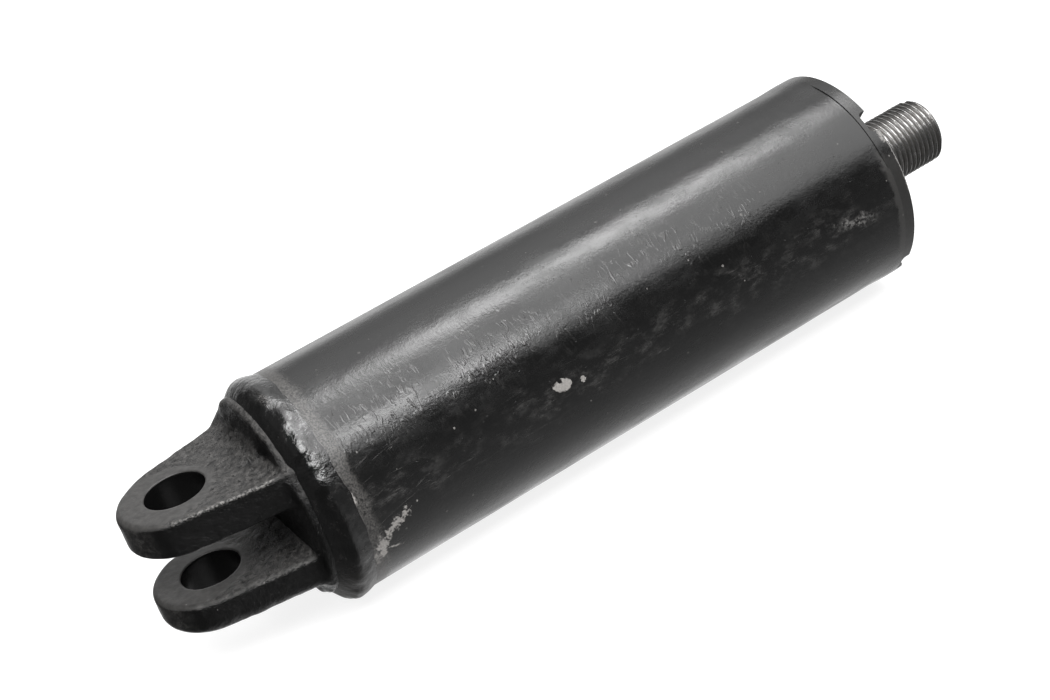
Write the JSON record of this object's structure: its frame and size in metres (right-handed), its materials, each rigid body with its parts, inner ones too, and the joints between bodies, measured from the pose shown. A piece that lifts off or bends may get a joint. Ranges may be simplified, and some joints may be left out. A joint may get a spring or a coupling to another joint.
{
  "type": "telescopic hydraulic cylinder",
  "caption": "Short two-stage single-acting telescopic hydraulic cylinder with a forged clevis base, a round barrel, a slotted screwed gland and a threaded rod end.",
  "frame": {"origin": "centre of the clevis pin hole, midway between the two ears", "axes": "+X along the cylinder from the clevis towards the threaded rod end; +Z along the clevis pin; +Y towards the oil port"},
  "size_m": [0.3153, 0.089, 0.078],
  "materials": {
    "painted_steel": "worn satin black paint",
    "painted_forging": "satin black paint over a rough forging",
    "painted_weld": "gloss black paint over a weld bead",
    "rod_steel": "turned and threaded steel",
    "honed_steel": "ground and plated",
    "machined_steel": "turned",
    "spring_steel": "phosphated",
    "rubber_seal": "moulded",
    "ptfe": "smooth",
    "guide_ring": "fabric-filled resin",
    "polyurethane": "moulded"
  },
  "bodies": {
    "barrel": {"barrel_tube": "painted_steel", "clevis_base": "painted_forging", "base_weld_bead": "painted_weld", "port_boss": "painted_steel", "port_weld_bead": "painted_weld", "gland_nut": "painted_steel", "gland_o_ring": "rubber_seal", "gland_backup_ring": "ptfe", "gland_wear_ring": "guide_ring", "gland_rod_seal": "polyurethane", "gland_wiper": "polyurethane"},
    "sleeve": {"sleeve_tube": "honed_steel", "sleeve_guide": "machined_steel", "sleeve_wear_ring": "guide_ring", "sleeve_stop_ring": "spring_steel", "sleeve_gland": "machined_steel", "sleeve_gland_o_ring": "rubber_seal", "sleeve_gland_wear_ring": "guide_ring", "sleeve_rod_seal": "polyurethane", "sleeve_wiper": "polyurethane"},
    "rod": {"rod": "rod_steel", "rod_guide": "machined_steel", "rod_wear_ring": "guide_ring", "rod_stop_ring": "spring_steel", "rod_retaining_ring": "spring_steel"}
  },
  "joints": [
    {"name": "sleeve_slide", "type": "slide", "parent": "barrel", "child": "sleeve", "axis": [1, 0, 0], "range_m": [0, 0.1395]},
    {"name": "rod_slide", "type": "slide", "parent": "sleeve", "child": "rod", "axis": [1, 0, 0], "range_m": [0, 0.1395]}
  ]
}
